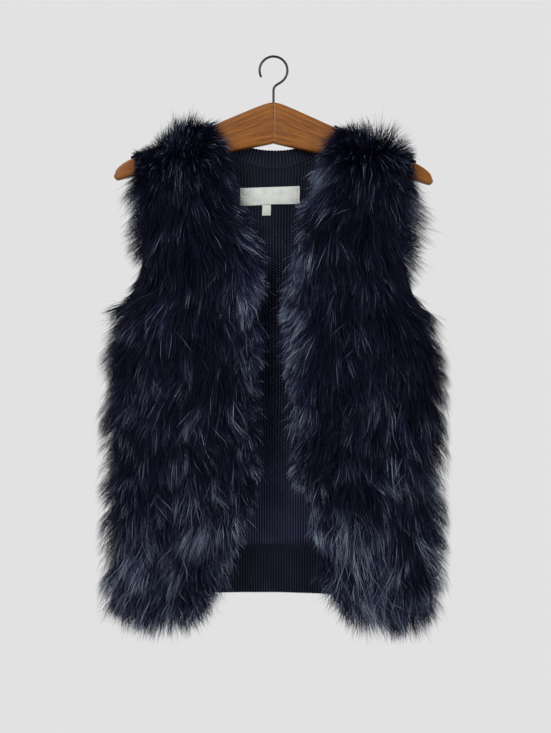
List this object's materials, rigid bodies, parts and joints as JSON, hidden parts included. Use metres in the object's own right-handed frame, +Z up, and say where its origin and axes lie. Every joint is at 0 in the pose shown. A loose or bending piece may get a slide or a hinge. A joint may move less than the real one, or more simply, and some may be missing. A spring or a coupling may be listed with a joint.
{
  "type": "faux fur vest on a wooden hanger",
  "caption": "Open-front sleeveless vest with long-pile faux fur fronts and a rib knit back, hanging on a wooden hanger with a wire hook.",
  "frame": {"origin": "the top inside of the hanger's hook, where a rail carries it", "axes": "+Z up, -Y towards the front of the vest, +X to the right as seen from the front"},
  "size_m": [0.4549, 0.0885, 0.7727],
  "materials": {
    "fur": "long-pile blue-black faux fur",
    "knit": "dark navy textured rib knit",
    "rib": "dark navy rib knit",
    "woven_tape": "pale woven tape, left bare",
    "hanger_wood": "brown satin varnish",
    "hook_wire": "dark plated wire"
  },
  "bodies": {
    "root": {"fur_front_left": "fur", "fur_front_right": "fur", "knit_back": "knit", "hem_rib": "rib", "neck_rib": "rib", "armhole_rib_left": "rib", "armhole_rib_right": "rib", "label": "woven_tape", "size_tab": "woven_tape", "hanger_arm_left": "hanger_wood", "hanger_arm_right": "hanger_wood", "hanger_hook": "hook_wire"}
  },
  "joints": []
}
